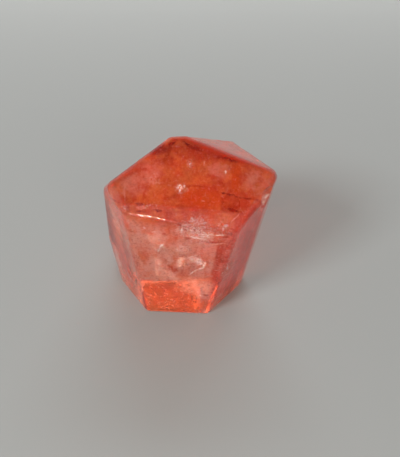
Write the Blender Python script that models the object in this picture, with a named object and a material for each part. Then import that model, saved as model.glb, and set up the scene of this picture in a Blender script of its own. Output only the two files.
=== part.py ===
"""Hematoid quartz point: one short, fat crystal, ground flat underneath and polished all over.

The crystal is a single solid. It starts as a block, and every facet is one flat cut across the
block, the way a stone cutter grinds it. Its edges and corners are then rounded over by more of
the same cuts, each one touching a ball that rolls around just inside the crystal, which is what
polishing does. Last, it is cut flat at the ground and a small shell-shaped chip is struck out
of the corner at the right.

Frame: metres, +Z up, the large tip facet facing -Y, the flat base on Z = 0, and the origin on
the ground under the middle of the bounding box.
"""

import math

import bmesh
import bpy
from mathutils import Matrix, Vector

MM = 0.001

# Each facet is a flat cut: the compass direction that it faces (degrees from +X towards +Y),
# its slope (0 lies flat, 90 stands upright, over 90 leans outwards as it rises), and its
# distance in millimetres from the middle of the base. The crystal widens from its base
# to its shoulders, so most of its walls lean outwards.
WALLS = {
    "front": (267, 95, 9.4),
    "front_right": (319, 101.5, 8.4),
    "right": (337, 100, 9.5),
    "back_right": (34, 94, 8.8),
    "back": (95, 93, 12.6),
    "back_left": (166, 84, 16.6),
    "left_foot": (192, 96.5, 14.3),
    "front_left": (215, 96.5, 12.4),
}

# The tip is lopsided: its large front facet takes most of the top, and the others close it
# behind the ridge. The brow is the narrow facet between the large one and the front wall.
TIP = {
    "tip_front": (280, 36, 31.0),
    "tip_right": (50, 34, 30.9),
    "tip_back": (94, 48, 25.4),
    "tip_left": (139, 52, 25.3),
    "brow": (274, 62, 23.8),
}

BLOCK_SIZE = 90 * MM

# How far the walls are carried on below the ground before the base is cut.
FOOT = 6 * MM

# The rounding of the edges and corners: the rolling ball's radius, how many strips there are
# between two facets, and how many rings of cuts there are between a corner's rim and its middle.
BALL_RADIUS = 1.6 * MM
STRIPS = 5
CORNER_RINGS = 2

# The rounding around the base, measured from its sharp edge.
BASE_ROUND = 0.5 * MM
BASE_SEGMENTS = 3

# The chip is at the corner where these three facets meet. It is a row of shallow scoops, each
# a ball that bites into the edge below the corner: the ball's radius, how far down the edge
# its bite is, and how deep it bites, measured from the sharp edge.
CHIP_CORNER = ("tip_front", "front_right", "right")
CHIP_SCOOPS = (
    (2.4 * MM, 0.6 * MM, 1.1 * MM),
    (2.0 * MM, 2.2 * MM, 0.9 * MM),
)

# Two corners of the mesh that are closer than this are one.
SAME_PLACE = 0.002 * MM

BODY_COLOUR = (0.56, 0.13, 0.06, 1.0)


def facet(name):
    """The outward direction of a named facet and its distance from the middle of the base."""
    azimuth, slope, distance = (WALLS | TIP)[name]
    azimuth = math.radians(azimuth)
    slope = math.radians(slope)
    outwards = Vector((
        math.cos(azimuth) * math.sin(slope),
        math.sin(azimuth) * math.sin(slope),
        math.cos(slope),
    ))
    return outwards, distance * MM


def grind(mesh, normal, distance):
    """Cut away all that lies beyond one plane and close the cut with a flat face."""
    geometry = mesh.verts[:] + mesh.edges[:] + mesh.faces[:]
    cut = bmesh.ops.bisect_plane(
        mesh, geom=geometry, plane_co=normal * distance, plane_no=normal, clear_outer=True)
    rim = [item for item in cut["geom_cut"] if isinstance(item, bmesh.types.BMEdge)]
    if rim:
        bmesh.ops.contextual_create(mesh, geom=rim)


def cut_crystal(inset):
    """The sharp-edged crystal on its foot, with every facet ground deeper by the inset."""
    mesh = bmesh.new()
    bmesh.ops.create_cube(mesh, size=BLOCK_SIZE)
    bmesh.ops.translate(mesh, verts=mesh.verts, vec=(0, 0, BLOCK_SIZE / 2 - FOOT))
    for name in WALLS | TIP:
        normal, distance = facet(name)
        grind(mesh, normal, distance - inset)
    bmesh.ops.recalc_face_normals(mesh, faces=mesh.faces)
    return mesh


def strip_normals(edge):
    """The directions of the strips that round one edge over, from one facet to the other."""
    first, last = (face.normal for face in edge.link_faces)
    return [first.slerp(last, step / STRIPS) for step in range(1, STRIPS)]


def corner_normals(corner):
    """The directions of the small cuts that round one corner over: its middle, and rings around."""
    rim = [face.normal for face in corner.link_faces]
    middle = sum(rim, Vector()).normalized()
    for edge in corner.link_edges:
        rim += strip_normals(edge)
    cuts = [middle]
    for ring in range(1, CORNER_RINGS):
        cuts += [normal.slerp(middle, ring / CORNER_RINGS) for normal in rim]
    return cuts


def rounding_cuts():
    """Every rounding cut: a plane that touches the ball as it rolls along the core's edges."""
    core = cut_crystal(BALL_RADIUS)
    for edge in core.edges:
        for normal in strip_normals(edge):
            yield normal, normal.dot(edge.verts[0].co) + BALL_RADIUS
    for corner in core.verts:
        for normal in corner_normals(corner):
            yield normal, normal.dot(corner.co) + BALL_RADIUS
    core.free()


def rounded_crystal():
    """The crystal with its edges rounded over, cut flat at the ground."""
    mesh = cut_crystal(0)
    for normal, distance in rounding_cuts():
        grind(mesh, normal, distance)
    grind(mesh, Vector((0, 0, -1)), 0)
    bmesh.ops.remove_doubles(mesh, verts=mesh.verts, dist=SAME_PLACE)
    bmesh.ops.recalc_face_normals(mesh, faces=mesh.faces)
    return mesh


def mark_base_edge(mesh):
    """Mark the rim of the base for the Bevel modifier."""
    weights = mesh.edges.layers.float.new("bevel_weight_edge")
    for edge in mesh.edges:
        on_ground = all(abs(vert.co.z) < SAME_PLACE for vert in edge.verts)
        edge[weights] = 1.0 if on_ground else 0.0


def round_base(crystal):
    """Round the marked rim of the base over."""
    bevel = crystal.modifiers.new("polished base edge", "BEVEL")
    bevel.limit_method = "WEIGHT"
    bevel.width = BASE_ROUND
    bevel.segments = BASE_SEGMENTS


def scoop_centres():
    """Each scoop's ball: its radius and the centre it is struck from, outside the crystal."""
    normals, distances = zip(*(facet(name) for name in CHIP_CORNER))
    corner = Matrix(normals).inverted() @ Vector(distances)
    down_edge = normals[2].cross(normals[1]).normalized()
    outwards = (normals[1] + normals[2]).normalized()
    for radius, along, depth in CHIP_SCOOPS:
        yield radius, corner + down_edge * along + outwards * (radius - depth)


def add_chip(crystal):
    """Strike the scoops of the chip out of the crystal."""
    for radius, centre in scoop_centres():
        bpy.ops.mesh.primitive_ico_sphere_add(subdivisions=4, radius=radius, location=centre)
        scoop = bpy.context.object
        scoop.parent = crystal
        scoop.hide_render = True
        scoop.display_type = "WIRE"
        cut = crystal.modifiers.new("chip", "BOOLEAN")
        cut.operation = "DIFFERENCE"
        cut.solver = "EXACT"
        cut.object = scoop


def centre_over_origin(crystal):
    """Bring the middle of the finished crystal's bounding box over the origin."""
    bpy.context.view_layer.update()
    finished = crystal.evaluated_get(bpy.context.evaluated_depsgraph_get())
    corners = [Vector(corner) for corner in finished.bound_box]
    middle = (corners[0] + corners[6]) / 2
    crystal.location = (-middle.x, -middle.y, 0)


def quartz_material():
    """Polished quartz stained by hematite."""
    material = bpy.data.materials.new("hematoid quartz")
    material.use_nodes = True
    surface = material.node_tree.nodes["Principled BSDF"]
    surface.inputs["Base Color"].default_value = BODY_COLOUR
    surface.inputs["Roughness"].default_value = 0.08
    surface.inputs["Metallic"].default_value = 0.0
    surface.inputs["IOR"].default_value = 1.54
    return material


def build():
    for old in list(bpy.data.objects):
        bpy.data.objects.remove(old)
    solid = rounded_crystal()
    mark_base_edge(solid)
    mesh = bpy.data.meshes.new("quartz_point")
    solid.to_mesh(mesh)
    solid.free()
    crystal = bpy.data.objects.new("quartz_point", mesh)
    bpy.context.collection.objects.link(crystal)
    crystal.data.materials.append(quartz_material())
    round_base(crystal)
    add_chip(crystal)
    centre_over_origin(crystal)


build()
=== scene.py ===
# %% [markdown]
# A hematoid quartz point, dressed for its picture. The real thing is one short, fat crystal of
# quartz. It grew in iron-rich water, so rust-red hematite fills its cracks and stains the stone
# around them, and it was ground flat underneath and polished all over. Almost all of its looks
# are light: a wet gloss on soft-edged facets, and clouds of red, orange and milky pink that lie
# at different depths behind them.
#
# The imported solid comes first, because every later step is measured from it.

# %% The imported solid
import math

import bpy
from mathutils import Euler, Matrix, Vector


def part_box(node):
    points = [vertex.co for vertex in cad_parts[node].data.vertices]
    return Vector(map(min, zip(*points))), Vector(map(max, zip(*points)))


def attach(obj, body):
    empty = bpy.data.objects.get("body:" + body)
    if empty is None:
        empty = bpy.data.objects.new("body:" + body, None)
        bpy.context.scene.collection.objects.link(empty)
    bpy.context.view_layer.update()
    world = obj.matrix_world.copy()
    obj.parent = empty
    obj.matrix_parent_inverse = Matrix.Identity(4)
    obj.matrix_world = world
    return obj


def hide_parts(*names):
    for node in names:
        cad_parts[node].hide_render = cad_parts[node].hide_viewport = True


MM = 0.001

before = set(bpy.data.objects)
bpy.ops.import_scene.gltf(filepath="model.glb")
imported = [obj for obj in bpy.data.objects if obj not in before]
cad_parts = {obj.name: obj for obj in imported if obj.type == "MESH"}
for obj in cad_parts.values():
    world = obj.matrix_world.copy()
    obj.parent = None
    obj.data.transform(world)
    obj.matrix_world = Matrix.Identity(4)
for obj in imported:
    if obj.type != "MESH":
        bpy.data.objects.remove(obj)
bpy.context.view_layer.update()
packed_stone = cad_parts["quartz_point"]
lowest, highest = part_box("quartz_point")
print("packed stone, mm:", [round(side / MM, 1) for side in highest - lowest])

# %% [markdown]
# The camera looks down on the stone from the front. It is set up before anything is modelled,
# because the marks on a natural stone follow no rule that could be measured from its edges: each
# one is put where the eye sees it, and that needs the eye. A picture place is given in the
# frame's own units, 400 across and 457 down, and `seen_at` finds the spot of stone behind it.

# %% Camera
PICTURE_WIDTH = 400
PICTURE_HEIGHT = 457
SENSOR = 36.0
LENS = 62.0
EYE = Vector((2.0, -104.2, 125.3)) * MM
LOOK_DOWN = math.radians(47)

camera_data = bpy.data.cameras.new("camera")
camera_data.lens = LENS
camera_data.sensor_width = SENSOR
camera_data.clip_start = 0.01
camera = bpy.data.objects.new("camera", camera_data)
bpy.context.scene.collection.objects.link(camera)
camera.location = EYE
camera.rotation_euler = (math.pi / 2 - LOOK_DOWN, 0, 0)
bpy.context.scene.camera = camera

PICTURE_UNITS_PER_TURN = LENS / SENSOR * PICTURE_HEIGHT
FORWARD = Vector((0, math.cos(LOOK_DOWN), -math.sin(LOOK_DOWN)))
RIGHT = Vector((1, 0, 0))
UP = RIGHT.cross(FORWARD)


def sight_line(x, y):
    """The direction from the eye through a picture place."""
    across = (x - PICTURE_WIDTH / 2) / PICTURE_UNITS_PER_TURN
    down = (y - PICTURE_HEIGHT / 2) / PICTURE_UNITS_PER_TURN
    return (FORWARD + RIGHT * across - UP * down).normalized()


STONE_SHOWS_AT = Vector((190, 225))
MOST_SLIDES = 12


def seen_at(piece, x, y):
    """The spot of a piece that shows at a picture place, and the way its surface faces.

    A place just past the outline slides towards the piece's middle until it is on the piece.
    """
    place = Vector((x, y))
    for _ in range(MOST_SLIDES):
        hit, spot, normal, _ = piece.ray_cast(EYE, sight_line(*place))
        if hit:
            return spot, normal
        place += (STONE_SHOWS_AT - place).normalized() / 2
    raise ValueError(f"nothing of {piece.name} shows at {x}, {y}")


print("eye to stone, mm:", round((EYE - (lowest + highest) / 2).length / MM, 1))

# %% [markdown]
# The stone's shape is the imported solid's, and it has to stay so, but a polished stone isn't made
# of perfect planes. Hand polishing leaves each facet a little wavy, which bends its reflections,
# and the rounded edges carry tiny nicks. A bump in the material could fake both, but it wouldn't
# be in the mesh. So a copy of the solid is merged, diced into small cells by straight cuts along
# the three axes, and dented inwards by two Displace modifiers. Dents go only inwards, so the
# stone never outgrows the solid, and the ground base is left flat.

# %% Helpers for modelling
def pick(piece):
    """Make one piece the only one selected, and the active one."""
    bpy.ops.object.select_all(action="DESELECT")
    piece.select_set(True)
    bpy.context.view_layer.objects.active = piece


def edit(piece):
    """Go into edit mode on one piece, with all of it selected."""
    pick(piece)
    bpy.ops.object.mode_set(mode="EDIT")
    bpy.ops.mesh.select_all(action="SELECT")


def done_editing():
    bpy.ops.object.mode_set(mode="OBJECT")


def apply_modifiers(piece):
    """Turn what a piece's modifiers do into its mesh."""
    pick(piece)
    for name in [modifier.name for modifier in piece.modifiers]:
        bpy.ops.object.modifier_apply(modifier=name)


def count_triangles(piece):
    """How many triangles a piece's mesh makes."""
    piece.data.calc_loop_triangles()
    return len(piece.data.loop_triangles)

# %% A merged copy of the solid
SAME_PLACE = 0.005 * MM
SAME_PLANE = math.radians(0.3)

stone = bpy.data.objects.new("quartz_stone", packed_stone.data.copy())
bpy.context.scene.collection.objects.link(stone)
edit(stone)
bpy.ops.mesh.remove_doubles(threshold=SAME_PLACE)
bpy.ops.mesh.customdata_custom_splitnormals_clear()
bpy.ops.mesh.dissolve_limited(angle_limit=SAME_PLANE)
done_editing()

FACET_AREA = 8 * MM * MM
facets = [face for face in stone.data.polygons if face.area > FACET_AREA]
facet_normals = [face.normal.copy() for face in facets]
facet_centres = [face.center.copy() for face in facets]
print("facets:", len(facets), "of", len(stone.data.polygons), "faces")

# %% Dice it into small cells
CELL = 0.45 * MM


def dice(piece, low, high, cell):
    """Cut a piece across by planes one cell apart, along each of the three axes."""
    edit(piece)
    for axis in range(3):
        way = Vector((0, 0, 0))
        way[axis] = 1
        for step in range(1, int((high[axis] - low[axis]) / cell) + 1):
            bpy.ops.mesh.select_all(action="SELECT")
            bpy.ops.mesh.bisect(plane_co=way * (low[axis] + step * cell), plane_no=way)
    done_editing()


dice(stone, lowest, highest, CELL)
print("diced stone, triangles:", count_triangles(stone))

# %% Where the edges are worn
EDGE_TURN = math.radians(14)
BASE_BAND = 0.8 * MM


def wear_at(normal):
    """From 0 on a flat facet to 1 where the surface has turned well away from every facet."""
    nearest = min(normal.angle(facet) for facet in facet_normals)
    return min(nearest / EDGE_TURN, 1.0)


heights = [vertex.co.z for vertex in stone.data.vertices]
wear = [wear_at(vertex.normal) for vertex in stone.data.vertices]
above_base = stone.vertex_groups.new(name="above base")
edge_band = stone.vertex_groups.new(name="edge band")
for index, height in enumerate(heights):
    if height > BASE_BAND:
        above_base.add([index], 1.0, "REPLACE")
        edge_band.add([index], wear[index], "REPLACE")
# The same values also steer the painted shade on the rounded edges, in the quartz's colour.
worn_edge_shade = stone.data.attributes.new("worn_edge_shade", "FLOAT", "POINT")
worn_edge_shade.data.foreach_set("value", wear)
print("points on worn edges:", sum(value > 0.5 for value in wear), "of", len(wear))

# %% Dent it inwards
WAVE_DEPTH = 0.035 * MM
WAVE_SIZE = 5.0 * MM
NICK_DEPTH = 0.045 * MM
NICK_SIZE = 0.9 * MM


def dent(piece, name, group, depth, size, contrast):
    """Push the points of a vertex group inwards by a cloudy texture."""
    clouds = bpy.data.textures.new(name, "CLOUDS")
    clouds.noise_scale = size
    clouds.contrast = contrast
    dents = piece.modifiers.new(name, "DISPLACE")
    dents.texture = clouds
    dents.vertex_group = group
    dents.strength = -depth
    dents.mid_level = 0.0


dent(stone, "polishing waves", "above base", WAVE_DEPTH, WAVE_SIZE, 1.0)
dent(stone, "nicks", "edge band", NICK_DEPTH, NICK_SIZE, 3.0)
apply_modifiers(stone)
pick(stone)
bpy.ops.object.shade_smooth_by_angle(angle=math.radians(38))
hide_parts("quartz_point")
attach(stone, "root")
sizes = [max(v.co[axis] for v in stone.data.vertices) - min(v.co[axis] for v in stone.data.vertices)
         for axis in range(3)]
print("dented stone, mm:", [round(size / MM, 2) for size in sizes])

# %% [markdown]
# Node trees are built in code by a few small helpers, so that each material below reads as a list
# of what feeds what. Patterns are worked out in millimetres, from the Object coordinates.

# %% Helpers for node trees
def add_node(tree, kind, **settings):
    """A new node, with its settings made."""
    made = tree.nodes.new("ShaderNode" + kind)
    for name, value in settings.items():
        setattr(made, name, value)
    return made


def feed(tree, socket, value):
    """Join another node's output to a socket, or set the socket's own value."""
    if isinstance(value, bpy.types.NodeSocket):
        tree.links.new(value, socket)
    else:
        socket.default_value = value


def math_node(tree, operation, *values, clamp=False):
    """One step of arithmetic on plain numbers."""
    step = add_node(tree, "Math", operation=operation, use_clamp=clamp)
    for socket, value in zip(step.inputs, values):
        feed(tree, socket, value)
    return step.outputs[0]


def vector_node(tree, operation, *values, out=0):
    """One step of arithmetic on vectors."""
    step = add_node(tree, "VectorMath", operation=operation)
    for socket, value in zip(step.inputs, values):
        feed(tree, socket, value)
    return step.outputs[out]


def ramp(tree, value, low, high, out_low=0.0, out_high=1.0, kind="SMOOTHSTEP"):
    """Carry a value from one range to another, smoothly and without going past its ends."""
    step = add_node(tree, "MapRange", interpolation_type=kind)
    for socket, number in zip(step.inputs, (value, low, high, out_low, out_high)):
        feed(tree, socket, number)
    return step.outputs[0]


def blend(tree, share, under, over, kind="MIX"):
    """Lay one colour over another by a share."""
    step = add_node(tree, "Mix", data_type="RGBA", blend_type=kind)
    feed(tree, step.inputs["Factor"], share)
    feed(tree, step.inputs[6], under)
    feed(tree, step.inputs[7], over)
    return step.outputs[2]


def clouds_node(tree, place, scale, detail=3.0, roughness=0.5, warp=0.0, stretch=(1, 1, 1)):
    """A cloudy value around 0.5, with its clouds about 1 / scale millimetres across."""
    mapping = add_node(tree, "Mapping")
    feed(tree, mapping.inputs["Vector"], place)
    mapping.inputs["Scale"].default_value = stretch
    texture = add_node(tree, "TexNoise")
    feed(tree, texture.inputs["Vector"], mapping.outputs[0])
    feed(tree, texture.inputs["Scale"], scale)
    texture.inputs["Detail"].default_value = detail
    texture.inputs["Roughness"].default_value = roughness
    texture.inputs["Distortion"].default_value = warp
    return texture.outputs["Fac"]


def place_in_mm(tree):
    """The place on or in the stone, in millimetres."""
    coordinates = add_node(tree, "TexCoord")
    return vector_node(tree, "MULTIPLY", coordinates.outputs["Object"], (1000, 1000, 1000))

# %% [markdown]
# Two effects come back all over the stone, so each one is a node group, built once. A stain is a
# soft-edged patch of another colour. Its group measures how far a place is from the patch's middle
# along three directions, and lays the patch's colour over what it is given. Its corner value makes
# it round like an egg (2) or squarer like a slab (6 and more). Threads are thin winding lines:
# where a cloudy value passes through its middle there is a line, as a contour on a map.

# %% The stain group
def make_group(name, inputs, outputs):
    """An empty node group with its sockets. Gives the tree, its input node and its output node."""
    tree = bpy.data.node_groups.new(name, "ShaderNodeTree")
    for direction, sockets in (("INPUT", inputs), ("OUTPUT", outputs)):
        for socket, kind in sockets.items():
            tree.interface.new_socket(name=socket, in_out=direction, socket_type="NodeSocket" + kind)
    return tree, tree.nodes.new("NodeGroupInput"), tree.nodes.new("NodeGroupOutput")


def make_stain_group():
    """A node group that lays one stain over a colour."""
    inputs = {"Colour": "Color", "Place": "Vector", "Middle": "Vector", "Along": "Vector",
              "Across": "Vector", "Into": "Vector", "Corner": "Float", "Softness": "Float",
              "Amount": "Float", "Mottle": "Float", "Tint": "Color"}
    tree, entrance, result = make_group("stain", inputs, {"Colour": "Color"})
    given = entrance.outputs
    offset = vector_node(tree, "SUBTRACT", given["Place"], given["Middle"])
    total = 0.0
    for direction in ("Along", "Across", "Into"):
        reach = vector_node(tree, "DOT_PRODUCT", offset, given[direction], out=1)
        power = math_node(tree, "POWER", math_node(tree, "ABSOLUTE", reach), given["Corner"])
        total = math_node(tree, "ADD", total, power)
    distance = math_node(tree, "POWER", total, math_node(tree, "DIVIDE", 1.0, given["Corner"]))
    inner = math_node(tree, "SUBTRACT", 1.0, given["Softness"])
    outer = math_node(tree, "ADD", 1.0, given["Softness"])
    share = ramp(tree, distance, inner, outer, 1.0, 0.0)
    share = math_node(tree, "MULTIPLY", share, given["Amount"])
    share = math_node(tree, "MULTIPLY", share, given["Mottle"], clamp=True)
    feed(tree, result.inputs["Colour"], blend(tree, share, given["Colour"], given["Tint"]))
    return tree


stain_group = make_stain_group()
print("stain group, nodes:", len(stain_group.nodes))

# %% The thread group
def make_thread_group():
    """A node group that gives a mask of thin winding lines, which come and go in patches."""
    inputs = {"Place": "Vector", "Scale": "Float", "Width": "Float", "Patch Scale": "Float",
              "Cover": "Float"}
    tree, entrance, result = make_group("threads", inputs, {"Mask": "Float"})
    given = entrance.outputs
    field = clouds_node(tree, given["Place"], given["Scale"], detail=2.0, warp=0.6)
    from_middle = math_node(tree, "ABSOLUTE", math_node(tree, "SUBTRACT", field, 0.5))
    line = ramp(tree, from_middle, 0.0, given["Width"], 1.0, 0.0)
    patches = clouds_node(tree, given["Place"], given["Patch Scale"], detail=1.0)
    edge = math_node(tree, "SUBTRACT", 1.0, given["Cover"])
    patch = ramp(tree, patches, math_node(tree, "SUBTRACT", edge, 0.08),
                 math_node(tree, "ADD", edge, 0.08))
    feed(tree, result.inputs["Mask"], math_node(tree, "MULTIPLY", line, patch))
    return tree


thread_group = make_thread_group()


def threads_node(tree, place, scale, width, patch_scale, cover):
    """Thin winding lines: how close together and how wide they are, and how much they cover."""
    lines = add_node(tree, "Group", node_tree=thread_group)
    for name, value in (("Place", place), ("Scale", scale), ("Width", width),
                        ("Patch Scale", patch_scale), ("Cover", cover)):
        feed(tree, lines.inputs[name], value)
    return lines.outputs["Mask"]


print("thread group, nodes:", len(thread_group.nodes))

# %% Lay stains over a colour
QUARTZ_IOR = 1.54
STAIN_DEPTH = 2.0
USUAL_SOFTNESS = 0.6
ROUND = 2.0
NARROW = 3


def seen_below(x, y, depth):
    """The place that shows at a picture place, some millimetres under the stone's surface.

    Quartz bends the line of sight, so the place isn't straight behind the spot on the surface.
    """
    spot, normal = seen_at(stone, x, y)
    sight = (spot - EYE).normalized()
    sideways = (sight - normal * sight.dot(normal)) / QUARTZ_IOR
    straight = math.sqrt(1 - sideways.length_squared)
    return spot + (sideways / straight - normal) * depth * MM, normal


def area(start, end, half_width, amount, **more):
    """A patch between two picture places, with its half width in picture units too."""
    return dict(start=start, end=end, half_width=half_width, amount=amount, **more)


def mark(start, end, half_width, tint, amount, **more):
    """One stain: a patch and its tint."""
    return area(start, end, half_width, amount, tint=tint, **more)


def lay_stain(tree, colour, place, mottles, stain):
    """Add one stain to a tree's colour. Gives the new colour."""
    below = stain.get("below", 0.0)
    start, _ = seen_below(*stain["start"], below)
    end, normal = seen_below(*stain["end"], below)
    middle = (start + end) / 2
    along = end - start
    half_length = along.length / 2
    across = normal.cross(along).normalized()
    half_width = stain["half_width"] * (EYE - middle).length / PICTURE_UNITS_PER_TURN
    layer = add_node(tree, "Group", node_tree=stain_group)
    feed(tree, layer.inputs["Colour"], colour)
    feed(tree, layer.inputs["Place"], place)
    mottle = "broken" if stain["half_width"] < NARROW else "even"
    feed(tree, layer.inputs["Mottle"], mottles[stain.get("mottle", mottle)])
    layer.inputs["Middle"].default_value = middle / MM
    layer.inputs["Along"].default_value = along.normalized() / (half_length / MM)
    layer.inputs["Across"].default_value = across / (half_width / MM)
    layer.inputs["Into"].default_value = normal / stain.get("depth", STAIN_DEPTH)
    layer.inputs["Corner"].default_value = stain.get("corner", ROUND)
    layer.inputs["Softness"].default_value = stain.get("softness", USUAL_SOFTNESS)
    layer.inputs["Amount"].default_value = stain["amount"]
    layer.inputs["Tint"].default_value = (*stain["tint"], 1.0)
    return layer.outputs["Colour"]

# %% [markdown]
# These are the stone's own colours, from the frosty white of a healed crack to the blood-red of
# thick hematite, and the stains that show in front. The frosty white also paints the glints and
# sparks, which are painted highlights. Each stain runs from one picture place to another. Its
# mottle breaks it up: into clouds, broken grains, threads, upright fibres or foam.
# What lies along the outline is wide along the line of sight and thin into the stone, because
# the surface turns away from the eye there.

# %% Palette
# The white of frost in healed cracks, and also the paint of the glints, which are painted highlights.
FROST_AND_GLINT = (1.0, 0.86, 0.80)
MILK = (0.93, 0.52, 0.41)
PINK = (0.95, 0.42, 0.30)
ROSE = (0.93, 0.36, 0.24)
SALMON = (0.90, 0.24, 0.10)
AMBER = (0.88, 0.26, 0.07)
ORANGE = (0.78, 0.135, 0.018)
RUST = (0.66, 0.09, 0.030)
EMBER = (0.50, 0.050, 0.008)
WINE = (0.56, 0.075, 0.035)
BLOOD = (0.28, 0.016, 0.008)
CHERRY = (0.92, 0.030, 0.004)
BRICK = (0.13, 0.034, 0.0)
CORAL = (1.0, 0.17, 0.03)
ASH = (0.80, 0.32, 0.24)
MAUVE = (0.42, 0.13, 0.12)
DUSK = (0.42, 0.36, 0.36)

# %% Stains of the tip
tip_stains = {
    "rosy left": mark((118, 188), (160, 168), 15, ROSE, 0.75, mottle="cloudy", depth=4.0, softness=0.4),
    "rosy right": mark((246, 186), (268, 178), 12, ROSE, 0.8, mottle="cloudy", depth=4.0),
    "rosy patch": mark((208, 169), (227, 173), 8, ROSE, 0.75, mottle="cloudy"),
    "orange middle": mark((180, 196), (222, 200), 9, ORANGE, 0.85, depth=4.0, softness=0.4),
    "orange shoulder": mark((172, 170), (200, 184), 11, AMBER, 0.6, mottle="cloudy", depth=4.0, softness=0.4),
    "orange square": mark((149, 194), (164, 195), 10, AMBER, 0.85, corner=6.0, softness=0.2),
    "orange corner": mark((112, 203), (120, 206), 4, AMBER, 0.6, softness=0.4),
    "brown column": mark((236, 163), (236, 194), 4.2, ORANGE, 0.85, corner=4.0, softness=0.25),
    "window": mark((221, 204), (239, 204), 8.5, EMBER, 0.7, mottle="cloudy", corner=6.0, softness=0.2),
    "red beside window": mark((240, 203), (250, 204), 4.5, RUST, 0.8, corner=4.0, softness=0.4),
    "red top": mark((170, 148), (208, 156), 7, RUST, 0.85, mottle="cloudy", softness=0.4),
    "red edge": mark((152, 155), (174, 143), 5.0, WINE, 0.9, mottle="cloudy", softness=0.4),
    "red curtain": mark((171, 147), (163, 163), 2.2, EMBER, 0.7),
    "ridge start": mark((168, 145), (177, 140), 2.4, BLOOD, 0.8),
    "ridge shade": mark((180, 141), (246, 164), 6, EMBER, 0.75, softness=0.7),
    "ridge thread": mark((183, 141.5), (192, 147), 1.4, BLOOD, 0.75),
    "ridge knot": mark((190, 147), (202, 149.5), 2.2, BLOOD, 0.65),
    "ridge band": mark((198, 150), (220, 157), 5.0, WINE, 0.95, mottle="cloudy"),
    "ridge end": mark((216, 156.5), (243, 161.5), 2.2, BLOOD, 0.7),
    "ridge blush": mark((186, 139.5), (262, 167.5), 2.8, RUST, 0.85, softness=0.5),
    # The two left brow edge marks are a dark red line there, and also painted shade over the light that the
    # rounded upper left edge lets through.
    "left brow edge": mark((107, 186), (141, 159.4), 9, BLOOD, 0.75, depth=0.5, softness=0.7),
    "left brow edge top": mark((141, 159.4), (172, 137.8), 9, BLOOD, 0.8, depth=0.5, softness=0.7),
    "far facet": mark((214, 142), (258, 159), 20, ASH, 0.75, mottle="cloudy", softness=0.5),
    "far facet root": mark((205, 143.5), (270, 170), 6, RUST, 0.9, softness=0.5),
    "far facet line": mark((236, 152), (266, 165), 1.6, PINK, 0.7),
    "shelf": mark((184, 185.5), (207, 187), 1.0, EMBER, 0.55, softness=0.7),
    "dim line": mark((146, 188), (142, 202), 1.4, RUST, 0.6, softness=0.7),
    "lintel spot": mark((221.5, 192), (225.5, 194), 1.1, BLOOD, 0.8, softness=0.5),
    "lintel": mark((224, 193.5), (241, 198), 1.0, BLOOD, 0.7),
    "lintel end": mark((240, 197.5), (262, 204.5), 1.3, BLOOD, 0.65),
    "window post": mark((239, 198), (239, 211), 0.7, EMBER, 0.8, softness=0.5),
    "dark fleck": mark((228, 209), (239, 211.5), 1.5, BLOOD, 0.8, softness=0.5),
    "corner thread": mark((108, 196), (121.5, 203.5), 0.8, BLOOD, 0.65),
    "left dash": mark((136, 204.2), (145, 204.4), 1.3, BLOOD, 0.75),
    "left blush": mark((137, 207), (146, 207.5), 1.8, PINK, 0.6, softness=0.4),
    "left dash low": mark((136, 210.6), (146, 212), 1.4, BLOOD, 0.65, softness=0.7),
    "middle dash": mark((153, 210), (162, 211), 1.4, BLOOD, 0.75),
    "middle shade": mark((172, 206), (190, 208), 2.4, EMBER, 0.6, mottle="cloudy", softness=0.4),
}

# %% Stains of the brow, where the front is most broken
brow_stains = {
    "brow shade": mark((148, 212), (205, 218), 5, RUST, 0.6, mottle="cloudy"),
    "brow orange": mark((200, 210), (222, 214), 4, ORANGE, 0.7, softness=0.4),
    "drip": mark((210.5, 213), (210.5, 224), 3.4, ORANGE, 0.85, softness=0.5),
    "right blush": mark((214, 226), (232, 222), 6, SALMON, 0.6, mottle="cloudy", softness=0.4),
    "mauve corner": mark((252, 208), (258, 222), 6, WINE, 0.8, softness=0.4),
    "pale diagonal": mark((230, 222.5), (238, 214.5), 0.8, PINK, 0.8),
    "left ring shade": mark((126, 206), (129, 212), 1.4, BLOOD, 0.45, softness=0.7),
    "swirl dark": mark((176, 224), (212, 232), 9, WINE, 0.75, mottle="cloudy"),
    "swirl oval": mark((183.6, 228), (189.6, 228), 4.6, MAUVE, 0.75, softness=0.5),
    "far oval": mark((202.4, 227.4), (207.2, 227.4), 5.0, MAUVE, 0.7, softness=0.5),
    "mauve dusk": mark((228, 233.6), (232, 235), 3.4, MAUVE, 0.7, mottle="cloudy", softness=0.4),
    "swirl blood": mark((178, 223), (182, 226), 1.8, BLOOD, 0.7),
    "swirl mauve": mark((185, 239), (191, 238), 2.4, WINE, 0.7),
    "left mauve": mark((162, 233), (167, 235), 1.8, WINE, 0.6),
    "dark streak": mark((204, 242), (224, 242.5), 1.3, WINE, 0.75),
    "ring shade": mark((222, 237.2), (230, 237), 1.0, EMBER, 0.8),
}

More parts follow.
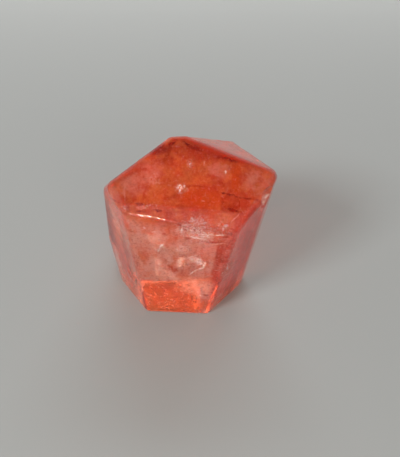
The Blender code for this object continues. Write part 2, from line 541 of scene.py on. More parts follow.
# %% Stains of the front
front_stains = {
    "red left": mark((141, 250), (145, 263), 4, SALMON, 0.8, mottle="cloudy", softness=0.4),
    "red nest": mark((161, 265), (178, 271), 5, RUST, 0.75, mottle="fibres", softness=0.4),
    "red field": mark((192, 282), (214, 276), 9, SALMON, 0.8, mottle="cloudy"),
    "mauve field": mark((193, 248), (214, 256), 6, ROSE, 0.7, mottle="cloudy"),
    "red column": mark((220.5, 245), (217.5, 262), 3.0, RUST, 0.85, corner=4.0, softness=0.35),
    "red column foot": mark((216.5, 260), (213, 284), 3.0, RUST, 0.75, softness=0.5),
    "shell heart": mark((190, 262), (197, 267), 3.2, ROSE, 0.6, mottle="cloudy", softness=0.4),
    "glow bed": mark((140, 295.5), (197, 297.5), 32, BRICK, 0.95, corner=6.0, softness=0.14),
    "glow mottles": mark((150, 297), (206, 302), 24, ORANGE, 0.16, mottle="broken", softness=0.4),
    "glow veins": mark((144, 292), (182, 296), 20, BLOOD, 0.45, mottle="fibres", softness=0.4),
    "glow ember": mark((192, 304), (210, 305), 9, ORANGE, 0.6, mottle="cloudy", softness=0.4),
    "glow end": mark((201, 299), (208, 308), 9, SALMON, 0.75, mottle="cloudy"),
    "glow rim": mark((160, 310), (208, 312.4), 1.0, BLOOD, 0.5, softness=0.7),
    # The two foot edge marks are painted shade over the light that the rounded edges of the foot let through.
    "left foot edge": mark((138, 281), (147, 309), 4.0, BLOOD, 0.7),
    "right foot edge": mark((218, 284), (213, 303), 3.2, EMBER, 0.7),
    "base fleck": mark((202, 294.2), (209, 295.4), 1.0, BLOOD, 0.95, softness=0.5),
}

# %% Stains of the sides
side_stains = {
    "left depth": mark((114, 222), (130, 282), 24, CORAL, 0.9, depth=1.6),
    "left thread": mark((104.5, 196), (112.5, 241), 9, BLOOD, 0.85, depth=0.4),
    "left thread end": mark((110, 228), (115, 246), 9, BLOOD, 0.8, depth=0.5),
    "left cloud": mark((118, 224), (124, 233), 4, MILK, 0.75, mottle="cloudy"),
    "left rim": mark((114.5, 247), (120, 268), 11, FROST_AND_GLINT, 0.9, mottle="broken", depth=0.6),
    "left curtain": mark((122, 243), (128.5, 279), 9.0, RUST, 0.9, mottle="cloudy"),
    "left foot": mark((131, 276), (141, 292), 4, MILK, 0.6, mottle="fibres", softness=0.4),
    "right depth": mark((250, 214), (226, 294), 34, CHERRY, 0.97, depth=1.4),
    "right milk": mark((233, 236), (224, 282), 12, ROSE, 0.6, mottle="cloudy"),
    "right shade": mark((252, 224), (243, 254), 8, WINE, 0.75, mottle="cloudy"),
    "right foot": mark((239, 270), (226, 296), 6, EMBER, 0.7, mottle="cloudy", softness=0.7),
    # The two right sparks are painted highlights, glints off cracks in the right wall.
    "right spark": mark((227.4, 265.4), (227.8, 269.6), 1.1, FROST_AND_GLINT, 0.95),
    "right spark low": mark((222.8, 271.8), (223.2, 273.2), 0.8, FROST_AND_GLINT, 0.7),
    "right wisp": mark((218.5, 297), (222.6, 292.4), 0.9, FROST_AND_GLINT, 0.85),
    "right wisp low": mark((212, 302.4), (214, 296.5), 1.1, MILK, 0.8),
    "chip blush": mark((262, 203.5), (269, 196), 3.4, MILK, 0.8, mottle="cloudy", softness=0.4),
    "chip foot": mark((262.6, 206), (262, 214), 1.1, MILK, 0.7),
}

# %% [markdown]
# Frost is the white of a crack that is full of tiny bubbles. Among the frost marks are glints,
# sparks and glitter, which are painted highlights: light thrown back by cracks in the stone. All of
# them are drawn twice from the same marks: as paint on the surface, and later on a thin sheet just
# below it, because paint alone can't be brighter than what shows through it.

# %% Frost in the chip, and its glints, which are painted highlights
chip_frost_and_glints = {
    "crushed": mark((261.5, 205), (269, 196), 3.8, FROST_AND_GLINT, 0.9, mottle="cloudy", softness=0.5),
    # The two glints are painted highlights on the crushed quartz of the chip.
    "glint": mark((265.6, 198.4), (269.2, 194), 1.9, FROST_AND_GLINT, 1.0),
    "glint low": mark((262.6, 204.6), (265, 200.6), 1.8, FROST_AND_GLINT, 1.0),
}

# %% Frost in the cracks behind the front, with painted highlights: the left ring, the ring and the sparks
front_frost_and_glints = {
    "over glow": mark((146, 277), (176, 278.5), 6, PINK, 0.4, mottle="foam"),
    "over glow right": mark((178, 281), (214, 291), 15, ROSE, 0.7, mottle="cloudy", softness=0.5),
    "beside glow": mark((139.5, 281), (141, 303), 4.2, PINK, 0.7, corner=5.0, softness=0.2),
    # The left ring is a painted highlight: a glint off a small chip at the corner.
    "left ring": mark((122.5, 209), (126, 210.5), 2.3, FROST_AND_GLINT, 1.0, mottle="threads", softness=0.4),
    "swirl pale": mark((186, 226), (206, 232), 8, MILK, 0.9, mottle="threads", softness=0.4),
    "swirl cloud": mark((192, 221), (200, 229), 4, MILK, 0.65, mottle="cloudy", softness=0.4),
    "bright streak": mark((188.5, 236.4), (204, 239.6), 1.3, FROST_AND_GLINT, 0.95),
    "swirl foam": mark((180, 229), (212, 233), 16, FROST_AND_GLINT, 0.6, mottle="foam"),
    "swirl crest": mark((193, 220), (199, 230), 4.2, FROST_AND_GLINT, 0.7, mottle="foam", softness=0.5),
    "swirl spot": mark((191, 218.4), (193.6, 220), 1.3, FROST_AND_GLINT, 0.75),
    "oval rim": mark((182.6, 226), (189.6, 224), 0.9, FROST_AND_GLINT, 0.5, softness=0.7),
    "oval rim left": mark((181.2, 232), (182.4, 226), 0.9, FROST_AND_GLINT, 0.45, softness=0.7),
    "far oval rim": mark((201.2, 224), (207.2, 222.8), 0.9, FROST_AND_GLINT, 0.45, softness=0.7),
    "loops": mark((200, 237), (212, 234), 5.0, FROST_AND_GLINT, 0.8, mottle="foam"),
    "pale streak": mark((204, 244.5), (226, 243.5), 0.9, PINK, 0.7),
    "ring foot": mark((222.6, 227), (223.4, 230.8), 1.0, FROST_AND_GLINT, 0.9),
    # The ring spark and the three sparks after it are painted highlights, glints off cracks.
    "ring spark": mark((216, 235.6), (224, 234.8), 1.0, FROST_AND_GLINT, 0.95),
    "spark left": mark((111.8, 215), (113.2, 215.4), 0.8, FROST_AND_GLINT, 0.7),
    "spark middle": mark((143.8, 227), (145.4, 229), 0.9, FROST_AND_GLINT, 0.7),
    "spark swirl": mark((181, 229), (182.2, 231.4), 0.9, FROST_AND_GLINT, 0.95),
    "dash pale": mark((151.5, 233), (156, 231.6), 0.9, FROST_AND_GLINT, 0.6),
    "milky left": mark((122, 232), (166, 240), 17, MILK, 0.75, mottle="cloudy"),
    "milky low": mark((132, 262), (160, 276), 16, MILK, 0.7, mottle="cloudy"),
    "milk band": mark((141, 248), (176, 280), 4.6, MILK, 0.75, mottle="cloudy"),
    "milk cloud": mark((176, 249), (190, 248), 7, FROST_AND_GLINT, 0.6, mottle="foam"),
    "milk fibres": mark((176, 262), (190, 264), 10, MILK, 0.8, mottle="fibres", softness=0.4),
    "shell wedge": mark((192, 258), (203, 264.5), 5.4, FROST_AND_GLINT, 0.75, mottle="broken", softness=0.4),
    "shell rim": mark((187.4, 258), (196, 255.5), 0.8, FROST_AND_GLINT, 0.7),
    "shell bend": mark((205.4, 262), (203.6, 267.5), 1.0, FROST_AND_GLINT, 0.9),
    "shell curl": mark((204.5, 267), (197.5, 270), 0.8, FROST_AND_GLINT, 0.85),
    "shell curl end": mark((197.5, 270), (189.8, 274.2), 0.8, FROST_AND_GLINT, 0.8),
    # The front sparks, the base spark and the ring are painted highlights, glints off cracks.
    "spark front": mark((159.6, 247.6), (162.6, 244.4), 1.3, FROST_AND_GLINT, 0.95),
    "spark front tail": mark((158, 252), (159.6, 248), 0.8, FROST_AND_GLINT, 0.6),
    "base spark": mark((199.4, 295.4), (201.6, 295.6), 0.9, FROST_AND_GLINT, 0.8),
    "ring": mark((222.8, 227), (227.8, 225.4), 1.3, FROST_AND_GLINT, 1.0),
}

# %% Frost in the cracks under the tip, with the painted glitter and sparks
tip_frost_and_glints = {
    # The glitter and the sparks are painted highlights: glints of light off cracks under the tip.
    "glitter": mark((176.5, 188), (185.5, 188.5), 3.6, FROST_AND_GLINT, 1.0, mottle="threads", softness=0.4),
    "glitter left": mark((176.6, 188.6), (178.6, 186.2), 0.8, FROST_AND_GLINT, 0.95),
    "glitter top": mark((178.4, 185.6), (180.6, 185.8), 0.7, FROST_AND_GLINT, 0.95),
    "glitter heart": mark((178.8, 189.6), (180.4, 190.6), 0.8, FROST_AND_GLINT, 0.9),
    "glitter dim": mark((182.2, 187.4), (183.4, 188.6), 0.9, MILK, 0.8),
    "glitter right": mark((184.4, 185.2), (185.2, 187.0), 0.7, FROST_AND_GLINT, 0.85),
    "spark": mark((189.2, 164.6), (191.6, 163.4), 0.8, FROST_AND_GLINT, 0.9),
    "spark right": mark((225.3, 170.5), (225.6, 174), 0.8, FROST_AND_GLINT, 0.8),
    "spark low": mark((202, 200.5), (204.6, 200.6), 0.7, PINK, 0.9),
    "pin": mark((204.4, 161), (204.4, 166), 0.6, PINK, 0.8, softness=0.5),
    "pale tuft": mark((148, 176), (158, 181), 5, MILK, 0.5, mottle="foam"),
    "shelf pale": mark((149, 182), (162, 182.5), 1.0, PINK, 0.4, softness=0.7),
    "pale line": mark((125, 185), (125, 201), 0.9, PINK, 0.6, softness=0.7),
}

# %% Clouds under the two steep walls, which are drawn on their sheets alone
left_wall_frost = {
    "dust": area((110, 214), (134, 296), 24, 0.4, mottle="foam", softness=0.5),
    "cloud": area((114, 218), (123, 240), 13, 0.65, mottle="cloudy"),
    "rim": area((114.5, 247), (121, 274), 4.5, 0.95, mottle="broken"),
    "foot": area((131, 276), (141, 296), 10, 0.7, mottle="fibres"),
}
left_wall_rust = {
    "field": area((108, 214), (134, 296), 26, 0.35, mottle="broken"),
    "flecks": area((107, 210), (114, 234), 9, 0.85, mottle="cloudy"),
    "curtain": area((121, 242), (129, 282), 9, 0.9, mottle="cloudy"),
}
right_wall_frost = {
    "dust": area((246, 224), (224, 292), 30, 0.3, mottle="foam", softness=0.5),
    "curtain": area((236, 238), (226, 284), 13, 0.4, mottle="fibres"),
    "foot": area((214, 303), (226, 289), 9, 0.8, mottle="cloudy"),
}
right_wall_rust = {
    "field": area((246, 224), (224, 292), 30, 0.5, mottle="broken"),
    "corner": area((251, 211), (255, 230), 12, 0.8, mottle="cloudy"),
    "shade": area((251, 228), (243, 256), 14, 0.8, mottle="cloudy"),
    "foot": area((240, 270), (224, 300), 9, 0.8, mottle="fibres"),
}

# %% [markdown]
# Around a crack the surface is broken too: a little rougher, uneven and dusted with frost. So
# these patches have no tint of their own, and steer the roughness and the relief of the quartz.

# %% Broken places
fractures = {
    "swirl": area((180, 228), (208, 231), 15, 1.0, mottle="cloudy"),
    "swirl foot": area((188, 240), (226, 241), 7, 0.8, mottle="cloudy"),
    "ring": area((217, 233), (229, 226), 9, 1.0, mottle="cloudy"),
    "glitter": area((176, 188), (186, 188), 5, 1.0),
    "tip spark": area((188, 165), (193, 163), 4, 0.9),
    "left ring": area((121, 208), (127, 211), 5, 1.0),
    "left dashes": area((136, 204), (160, 206), 3, 0.6, mottle="cloudy"),
    "shell": area((188, 260), (204, 266), 12, 0.8, mottle="cloudy"),
    "front spark": area((158, 250), (163, 245), 6, 0.8),
    "right foot": area((211, 302), (224, 291), 12, 0.9, mottle="cloudy"),
    "left foot": area((128, 268), (140, 290), 12, 0.6, mottle="cloudy"),
    "left edge": area((114, 246), (120, 268), 8, 0.8),
    "right spark": area((226, 264), (229, 271), 8, 0.9),
    "chip": area((262, 205), (269, 196), 10, 1.0, softness=0.4),
}
print("broken places:", len(fractures))

# %% The two steep walls that the eye sees at a slant, where the grain is doubled
steep_walls = {
    "left": area((114, 222), (130, 282), 26, 1.0, depth=1.6, softness=0.5),
    "right": area((250, 214), (226, 294), 36, 1.0, depth=1.6, softness=0.5),
}

# %% [markdown]
# The quartz itself. Light mostly goes into it, bends and comes out somewhere else, and haze in the
# stone scatters the rest. So a Principled shader takes a plain Transmission of 0.7, with quartz's
# index of refraction, and subsurface scattering for the haze. Its Base Color carries the clouds
# and stains for both. A Volume Absorption drinks green and blue from light on its long way
# through. Lamps would never reach what lies inside a refracting body, so for shadow rays alone the
# surface is a tinted Transparent shader.

# %% The clouds that fill the stone
TIP_PLACE = (190, 176)
TIP_WOBBLE = 5.0
RUST_ENDS = (0.2, 3.2)

tip_spot, tip_normal = seen_at(stone, *TIP_PLACE)


def body_colour(tree, warped):
    """Rust and orange just under the large tip facet, and rosy milk in the body below it."""
    from_tip = vector_node(tree, "SUBTRACT", tuple(tip_spot / MM), warped)
    depth = vector_node(tree, "DOT_PRODUCT", from_tip, tuple(tip_normal), out=1)
    big = clouds_node(tree, warped, 0.12, detail=2.0)
    veils = clouds_node(tree, warped, 0.24, detail=4.0, roughness=0.6, stretch=(1, 1, 0.35))
    middling = clouds_node(tree, warped, 0.42, detail=3.0, roughness=0.6, stretch=(1, 1, 0.6))
    depth = math_node(tree, "SUBTRACT", depth, TIP_WOBBLE / 2)
    reach = math_node(tree, "MULTIPLY_ADD", big, TIP_WOBBLE, depth)
    tip = blend(tree, ramp(tree, middling, 0.30, 0.68), (*RUST, 1.0), (*AMBER, 1.0))
    body = blend(tree, ramp(tree, middling, 0.32, 0.60), (*SALMON, 1.0), (*PINK, 1.0))
    body = blend(tree, ramp(tree, veils, 0.42, 0.62, 0.0, 0.9), body, (*MILK, 1.0))
    body = blend(tree, ramp(tree, veils, 0.32, 0.46, 0.55, 0.0), body, (*RUST, 1.0))
    in_body = ramp(tree, reach, *RUST_ENDS)
    return blend(tree, in_body, tip, body), in_body

# %% The streaks and the grain
def wall_streaks(tree, colour, place, walls):
    """Broad streaks on the steep walls, which the eye sees pressed together by their slant."""
    streaks = clouds_node(tree, place, 0.42, detail=4.0, roughness=0.72, warp=0.5, stretch=(1, 1, 0.5))
    dark = math_node(tree, "MULTIPLY", ramp(tree, streaks, 0.36, 0.50, 0.75, 0.0), walls)
    colour = blend(tree, dark, colour, (*WINE, 1.0))
    pale = math_node(tree, "MULTIPLY", ramp(tree, streaks, 0.52, 0.68, 0.0, 0.6), walls)
    return blend(tree, pale, colour, (*MILK, 1.0))


def grain(tree, colour, place, strength):
    """The fine haze: grains, healed cracks and iron threads too small to be drawn one by one, partly painted
    glints and shade.
    """
    fine = clouds_node(tree, place, 1.3, detail=3.0, roughness=0.65, warp=0.5)
    finest = clouds_node(tree, place, 3.2, detail=2.0, roughness=0.6)
    upright = clouds_node(tree, place, 0.9, detail=2.0, stretch=(1, 1, 0.15))
    colour = blend(tree, ramp(tree, upright, 0.28, 0.50, 0.30, 0.0), colour, (*RUST, 1.0))
    # The pale specks are partly painted glints and the dark specks partly painted shade, for light off tiny
    # cracks; the rest is the stone's own grain.
    for field, shade, frost in ((fine, 0.42, 0.26), (finest, 0.34, 0.16)):
        dark = math_node(tree, "MULTIPLY", ramp(tree, field, 0.26, 0.50, shade, 0.0), strength)
        colour = blend(tree, dark, colour, (*DUSK, 1.0), kind="MULTIPLY")
        pale = math_node(tree, "MULTIPLY", ramp(tree, field, 0.54, 0.78, 0.0, frost), strength)
        colour = blend(tree, pale, colour, (*FROST_AND_GLINT, 1.0))
    return colour

# %% Ways to break a stain up
def make_mottles(tree, place):
    """The ways in which a stain is broken up, each a value around 1 where the stain is whole."""
    return {
        "even": 1.0,
        "broken": ramp(tree, clouds_node(tree, place, 1.5, detail=3.0, roughness=0.7),
                       0.30, 0.58, 0.25, 1.2),
        "cloudy": ramp(tree, clouds_node(tree, place, 0.55, detail=4.0, roughness=0.65),
                       0.34, 0.60, 0.15, 1.15),
        "threads": threads_node(tree, place, 0.65, 0.10, patch_scale=0.9, cover=0.62),
        "fibres": ramp(tree, clouds_node(tree, place, 0.9, detail=3.0, stretch=(1, 1, 0.2)),
                       0.42, 0.60, 0.1, 1.2),
        "foam": ramp(tree, clouds_node(tree, place, 0.85, detail=4.0, roughness=0.7, warp=2.2),
                     0.46, 0.60, 0.0, 1.15),
    }

# %% Uneven edges, and masks
WARP_SIZE = 1.1


def warp_place(tree, place):
    """A place moved a little by clouds, which makes every edge that is drawn with it uneven."""
    wobble = add_node(tree, "TexNoise")
    feed(tree, wobble.inputs["Vector"], place)
    wobble.inputs["Scale"].default_value = 0.8
    wobble.inputs["Detail"].default_value = 5.0
    wobble.inputs["Roughness"].default_value = 0.68
    shift = vector_node(tree, "SUBTRACT", wobble.outputs["Color"], (0.5, 0.5, 0.5))
    return vector_node(tree, "MULTIPLY_ADD", shift, (WARP_SIZE,) * 3, place)


BLACK = (0.0, 0.0, 0.0)
WHITE = (1.0, 1.0, 1.0)


def lay_masks(tree, place, mottles, patches):
    """A value that is 1 where any of the patches lies, and 0 elsewhere."""
    mask = (*BLACK, 1.0)
    for patch in patches.values():
        mask = lay_stain(tree, mask, place, mottles, {**patch, "tint": WHITE})
    return mask

# %% All the colour of the stone
# EDGE_SHADE is painted shade: how much wine red darkens the rounded, worn edges.
EDGE_SHADE = 0.25


def quartz_colour(tree, place, warped, mottles):
    """The clouds, then the broad stains, the grain, painted shade on the worn edges and the narrow stains."""
    colour, in_body = body_colour(tree, warped)
    broad = {name: stain for name, stain in all_stains.items() if stain["half_width"] >= NARROW}
    narrow = {name: stain for name, stain in all_stains.items() if stain["half_width"] < NARROW}
    for stain in broad.values():
        colour = lay_stain(tree, colour, warped, mottles, stain)
    walls = lay_masks(tree, warped, mottles, steep_walls)
    colour = wall_streaks(tree, colour, place, walls)
    strength = math_node(tree, "MULTIPLY_ADD", in_body, 0.5, 0.75)
    strength = math_node(tree, "MULTIPLY_ADD", walls, 1.0, strength)
    colour = grain(tree, colour, place, strength)
    # Painted shade on the worn edges: wine red darkens the rounded edges, which light inside the stone would
    # otherwise make bright.
    edge = add_node(tree, "Attribute", attribute_name="worn_edge_shade").outputs["Fac"]
    edge = math_node(tree, "MULTIPLY", edge, mottles["cloudy"], clamp=True)
    colour = blend(tree, ramp(tree, edge, 0.0, 0.8, 0.0, EDGE_SHADE), colour, (*WINE, 1.0))
    for stain in narrow.values():
        colour = lay_stain(tree, colour, warped, mottles, stain)
    return colour


all_stains = {}
for group, stains in (("side", side_stains), ("front", front_stains), ("brow", brow_stains),
                      ("tip", tip_stains), ("front frost", front_frost_and_glints), ("tip frost", tip_frost_and_glints),
                      ("chip", chip_frost_and_glints)):
    all_stains.update({group + " " + name: stain for name, stain in stains.items()})
print("stains:", len(all_stains))

# %% Quartz
SEE_THROUGH = 0.70
POLISH = 0.045
GLOW = 0.55
GLOW_REACH = 1.2 * MM
GLOW_COLOURS = (1.0, 0.30, 0.20)
DRINK_COLOUR = (0.91, 0.45, 0.15, 1.0)
DRINK_PER_METRE = 95.0
SHADOW_TINT = (0.50, 0.46, 0.43, 1.0)
BROKEN_ROUGHNESS = 0.22
BROKEN_FROST = 0.30
LEDGES_TO_MARKS = 16.0
RELIEF_HEIGHT = 0.05 * MM


def relief(tree, place, broken):
    """The last polishing marks all over, and sharp little ledges in the broken places."""
    marks = clouds_node(tree, place, 2.2, detail=2.0)
    ledges = clouds_node(tree, place, 1.1, detail=4.0, roughness=0.7, warp=1.5)
    ledges = math_node(tree, "MULTIPLY", ledges, broken)
    height = math_node(tree, "MULTIPLY_ADD", ledges, LEDGES_TO_MARKS, marks)
    bump = add_node(tree, "Bump")
    bump.inputs["Strength"].default_value = 0.5
    bump.inputs["Distance"].default_value = RELIEF_HEIGHT
    feed(tree, bump.inputs["Height"], height)
    return bump.outputs["Normal"]


def let_lamps_in(tree, shader):
    """The same surface, but tinted and clear for the rays that look for a lamp."""
    for_lamps = add_node(tree, "BsdfTransparent")
    for_lamps.inputs["Color"].default_value = SHADOW_TINT
    choice = add_node(tree, "MixShader")
    feed(tree, choice.inputs[0], add_node(tree, "LightPath").outputs["Is Shadow Ray"])
    feed(tree, choice.inputs[1], shader)
    feed(tree, choice.inputs[2], for_lamps.outputs[0])
    return choice.outputs[0]


def make_quartz():
    material = bpy.data.materials.new("hematoid quartz")
    material.use_nodes = True
    tree = material.node_tree
    body = tree.nodes["Principled BSDF"]
    place = place_in_mm(tree)
    warped = warp_place(tree, place)
    mottles = make_mottles(tree, place)
    broken = lay_masks(tree, warped, mottles, fractures)
    colour = quartz_colour(tree, place, warped, mottles)
    frosted = clouds_node(tree, place, 1.6, detail=3.0, roughness=0.7)
    frost = math_node(tree, "MULTIPLY", broken, ramp(tree, frosted, 0.50, 0.62, 0.0, BROKEN_FROST))
    feed(tree, body.inputs["Base Color"], blend(tree, frost, colour, (*FROST_AND_GLINT, 1.0)))
    feed(tree, body.inputs["Normal"], relief(tree, place, broken))
    feed(tree, body.inputs["Roughness"], ramp(tree, broken, 0.1, 1.0, POLISH, BROKEN_ROUGHNESS))
    body.inputs["IOR"].default_value = QUARTZ_IOR
    body.inputs["Transmission Weight"].default_value = SEE_THROUGH
    body.inputs["Subsurface Weight"].default_value = GLOW
    body.inputs["Subsurface Scale"].default_value = GLOW_REACH
    body.inputs["Subsurface Radius"].default_value = GLOW_COLOURS
    drink = add_node(tree, "VolumeAbsorption")
    drink.inputs["Color"].default_value = DRINK_COLOUR
    drink.inputs["Density"].default_value = DRINK_PER_METRE
    output = tree.nodes["Material Output"]
    feed(tree, output.inputs["Surface"], let_lamps_in(tree, body.outputs[0]))
    feed(tree, output.inputs["Volume"], drink.outputs[0])
    return material


stone.data.materials.clear()
stone.data.materials.append(make_quartz())
print("quartz, nodes:", len(stone.data.materials[0].node_tree.nodes))

# %% [markdown]
# What gives the stone its depth lies inside it: veils, which are old cracks that healed with rust
# or with tiny bubbles in them. Paint on a clear surface can't show them, because it can't be
# brighter than what shows through it, and because a veil has to shift behind the surface when the
# eye moves. So each one is a real sheet: a grid that is turned, waved by a Displace modifier, and
# trimmed by the planes of the other facets, moved a little inwards. Its Alpha leaves gaps in it.

# %% Helpers for the veils
VEIL_CELLS = 56
VEIL_MARGIN = 0.95 * MM
SAME_FACET = math.radians(4)
VEIL_WAVE = 9 * MM


def trim_to_stone(piece, facing, margin):
    """Cut away what lies beyond any facet's plane, moved inwards by the margin.

    The facet that the piece lies under is left out, because the piece runs along it.
    """
    edit(piece)
    for centre, normal in zip(facet_centres, facet_normals):
        if normal.angle(facing) > SAME_FACET:
            bpy.ops.mesh.select_all(action="SELECT")
            bpy.ops.mesh.bisect(plane_co=centre - normal * margin, plane_no=normal, clear_outer=True)
    done_editing()


def least_depth(piece):
    """How far under the stone's surface the piece comes at least."""
    depths = []
    for vertex in piece.data.vertices:
        _, nearest, normal, _ = stone.closest_point_on_mesh(vertex.co)
        depths.append((nearest - vertex.co).dot(normal))
    return min(depths)


def make_veil(name, middle, turn, size, wave_depth, margin):
    """A waved sheet inside the stone, which stays clear of the other facets by the margin."""
    bpy.ops.object.select_all(action="DESELECT")
    bpy.ops.mesh.primitive_grid_add(
        x_subdivisions=VEIL_CELLS, y_subdivisions=VEIL_CELLS, size=size, location=middle, rotation=turn)
    veil = bpy.context.object
    veil.name = name
    bpy.ops.object.transform_apply(location=True, rotation=True, scale=True)
    waves = bpy.data.textures.new(name, "CLOUDS")
    waves.noise_scale = VEIL_WAVE
    wave = veil.modifiers.new("waves", "DISPLACE")
    wave.texture = waves
    wave.strength = wave_depth
    apply_modifiers(veil)
    facing = Euler(turn).to_matrix() @ Vector((0, 0, 1))
    trim_to_stone(veil, facing, margin)
    bpy.ops.object.shade_smooth()
    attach(veil, "root")
    print(name, "triangles:", count_triangles(veil))
    print("  least depth, mm:", round(least_depth(veil) / MM, 2))
    return veil

# %% The rusty veil under the tip
VEIL_ROUGHNESS = 0.5
RUSTY_MIDDLE = Vector((1, -1, 24))
RUSTY_TURN = (math.radians(36), 0, math.radians(8))
RUSTY_SIZE = 34 * MM
RUSTY_WAVE = 2.4 * MM
RUSTY_REACH = 15
RUSTY_HEART = 0.55


def make_rusty():
    """Clouds of rust with gaps between them, that fade out at a distance from the middle."""
    material = bpy.data.materials.new("rusty veil")
    material.use_nodes = True
    tree = material.node_tree
    place = place_in_mm(tree)
    clouds = clouds_node(tree, place, 0.16, detail=5.0, roughness=0.62, warp=0.8)
    tints = clouds_node(tree, place, 0.28, detail=2.0)
    body = tree.nodes["Principled BSDF"]
    colour = blend(tree, ramp(tree, tints, 0.38, 0.62), (*ORANGE, 1.0), (*RUST, 1.0))
    feed(tree, body.inputs["Base Color"], colour)
    from_middle = vector_node(tree, "DISTANCE", place, tuple(RUSTY_MIDDLE), out=1)
    fade = ramp(tree, from_middle, RUSTY_REACH * RUSTY_HEART, RUSTY_REACH, 1.0, 0.0)
    cover = ramp(tree, clouds, 0.36, 0.66, 0.0, 0.8)
    feed(tree, body.inputs["Alpha"], math_node(tree, "MULTIPLY", cover, fade))
    body.inputs["Roughness"].default_value = VEIL_ROUGHNESS
    return material


rusty_veil = make_veil("rusty_veil", RUSTY_MIDDLE * MM, RUSTY_TURN, RUSTY_SIZE, RUSTY_WAVE,
                       VEIL_MARGIN)
rusty_veil.data.materials.append(make_rusty())

# %% The frosty veils, just under two facets
FROST_DEPTH = 0.35
FROST_SIZE = 44 * MM
FROST_WAVE = 0.12 * MM
FRONT_PLACE = (180, 255)
LEFT_PLACE = (118, 245)
RIGHT_PLACE = (238, 250)
CHIP_PLACE = (266, 199)
CHIP_SIZE = 3.4 * MM
CHIP_MARGIN = 0.45 * MM
TIP_MARGIN = 1.5 * MM


def put_below(marks):
    """The same marks, as they show on a sheet that lies under the surface."""
    return {name: {**stain, "below": FROST_DEPTH} for name, stain in marks.items()}


def make_frosty(name, frost, rust):
    """Milk and frost, with the painted glints among it, and rust over it, where the marks are, and clear
    elsewhere.
    """
    material = bpy.data.materials.new(name)
    material.use_nodes = True
    tree = material.node_tree
    place = place_in_mm(tree)
    warped = warp_place(tree, place)
    mottles = make_mottles(tree, place)
    cover = lay_masks(tree, warped, mottles, put_below(frost))
    body = tree.nodes["Principled BSDF"]
    # The fullest marks turn to frost white, so the painted glints are the brightest spots on the sheet.
    bright = math_node(tree, "POWER", cover, 2.0)
    colour = blend(tree, bright, (*MILK, 1.0), (*FROST_AND_GLINT, 1.0))
    if rust:
        rusty = lay_masks(tree, warped, mottles, put_below(rust))
        colour = blend(tree, rusty, colour, (*RUST, 1.0))
        cover = math_node(tree, "MAXIMUM", cover, rusty)
    feed(tree, body.inputs["Base Color"], colour)
    feed(tree, body.inputs["Alpha"], cover)
    body.inputs["Roughness"].default_value = VEIL_ROUGHNESS
    return material


frosty_veils = {
    "front_frost_and_glint_veil": (FRONT_PLACE, FROST_SIZE, VEIL_MARGIN, front_frost_and_glints, {}),
    "tip_frost_and_glint_veil": (TIP_PLACE, FROST_SIZE, TIP_MARGIN, tip_frost_and_glints, {}),
    "left_cloud_veil": (LEFT_PLACE, FROST_SIZE, VEIL_MARGIN, left_wall_frost, left_wall_rust),
    "right_cloud_veil": (RIGHT_PLACE, FROST_SIZE, VEIL_MARGIN, right_wall_frost, right_wall_rust),
    "chip_frost_and_glint_veil": (CHIP_PLACE, CHIP_SIZE, CHIP_MARGIN, chip_frost_and_glints, {}),
}
for name, (place, size, margin, frost, rust) in frosty_veils.items():
    spot, normal = seen_at(stone, *place)
    turn = normal.to_track_quat("Z", "Y").to_euler()
    veil = make_veil(name, spot - normal * FROST_DEPTH * MM, turn, size, FROST_WAVE, margin)
    veil.data.materials.append(make_frosty(name.replace("_", " "), frost, rust))

# %% [markdown]
# The stone stands on a plain pale floor, lit as in a daylight studio: a window light from the
# front left, a broad one from behind, two low ones that lift the floor, and a grey room all
# round, darker overhead. Polished faces would mirror these lamps as hard white shapes, so they
# don't show in reflections. One tiny lamp does, and draws the streak on the brow. The floor lies
# a hair below the base, which lets the base mirror the light inside the stone.

# %% Floor
FLOOR_SIZE = 1.6
AIR_GAP = 0.02 * MM
FLOOR_GREY = (0.31, 0.312, 0.298, 1.0)

bpy.ops.object.select_all(action="DESELECT")
bpy.ops.mesh.primitive_plane_add(size=FLOOR_SIZE, location=(0, 0, -AIR_GAP))
floor = bpy.context.object
bpy.ops.object.transform_apply(location=True)
floor.name = "floor"
paper = bpy.data.materials.new("pale paper")
paper.use_nodes = True
paper.node_tree.nodes["Principled BSDF"].inputs["Base Color"].default_value = FLOOR_GREY
paper.node_tree.nodes["Principled BSDF"].inputs["Roughness"].default_value = 0.7
floor.data.materials.append(paper)

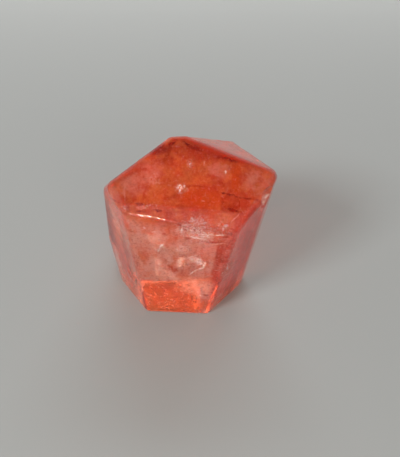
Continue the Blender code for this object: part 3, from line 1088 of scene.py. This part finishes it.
# %% Lights
def add_lamp(name, place, target, size, watts, colour=(1, 1, 1)):
    """A rectangular lamp that faces a target."""
    data = bpy.data.lights.new(name, "AREA")
    data.shape = "RECTANGLE"
    data.size, data.size_y = size
    data.energy = watts
    data.color = colour
    lamp = bpy.data.objects.new(name, data)
    bpy.context.scene.collection.objects.link(lamp)
    lamp.location = place
    lamp.rotation_euler = (Vector(place) - Vector(target)).to_track_quat("Z", "Y").to_euler()
    return lamp


STONE_MIDDLE = (0, 0, 18 * MM)
BEHIND = (0.0, 0.12, 0.0)
JUST_BEHIND = (0.0, 0.09, 0.0)
IN_FRONT = (0.03, -0.05, 0.0)
COOL = (0.97, 0.99, 1.03)
WARM = (1.0, 0.94, 0.86)

lamps = [
    add_lamp("window light", (-0.32, -0.30, 0.42), STONE_MIDDLE, (0.15, 0.15), 2.3),
    add_lamp("back light", (0.05, 0.45, 0.42), BEHIND, (0.5, 0.3), 2.0, COOL),
    add_lamp("far floor light", (0.0, 0.15, 0.04), JUST_BEHIND, (0.4, 0.02), 0.10),
    add_lamp("near floor light", (0.04, -0.20, 0.14), IN_FRONT, (0.2, 0.1), 0.14, WARM),
]
for lamp in lamps:
    lamp.visible_glossy = False
print("lamps:", len(lamps))

# %% The glint on the brow
GLINT_PLACE = Vector((-9.5, -95.1, 8.0)) * MM
BROW_PLACE = Vector((-8.3, -13.1, 21.0)) * MM
GLINT_SIZE = (4 * MM, 6 * MM)

glint = add_lamp("glint bar", GLINT_PLACE, BROW_PLACE, GLINT_SIZE, 0.015)
glint.visible_camera = False

# %% The grey room
ROOM_LIGHT = (0.98, 1.0, 1.0, 1.0)
CEILING = (0.16, 0.16, 0.17, 1.0)
ROOM_STRENGTH = 0.68

world = bpy.data.worlds.new("grey room")
world.use_nodes = True
room = world.node_tree
direction = add_node(room, "TexCoord")
split = add_node(room, "SeparateXYZ")
feed(room, split.inputs[0], direction.outputs["Generated"])
overhead = ramp(room, split.outputs["Z"], 0.45, 0.80)
feed(room, room.nodes["Background"].inputs["Color"], blend(room, overhead, ROOM_LIGHT, CEILING))
room.nodes["Background"].inputs["Strength"].default_value = ROOM_STRENGTH
bpy.context.scene.world = world
bpy.context.scene.view_settings.view_transform = "Standard"

# %% [markdown]


print("scene set up")
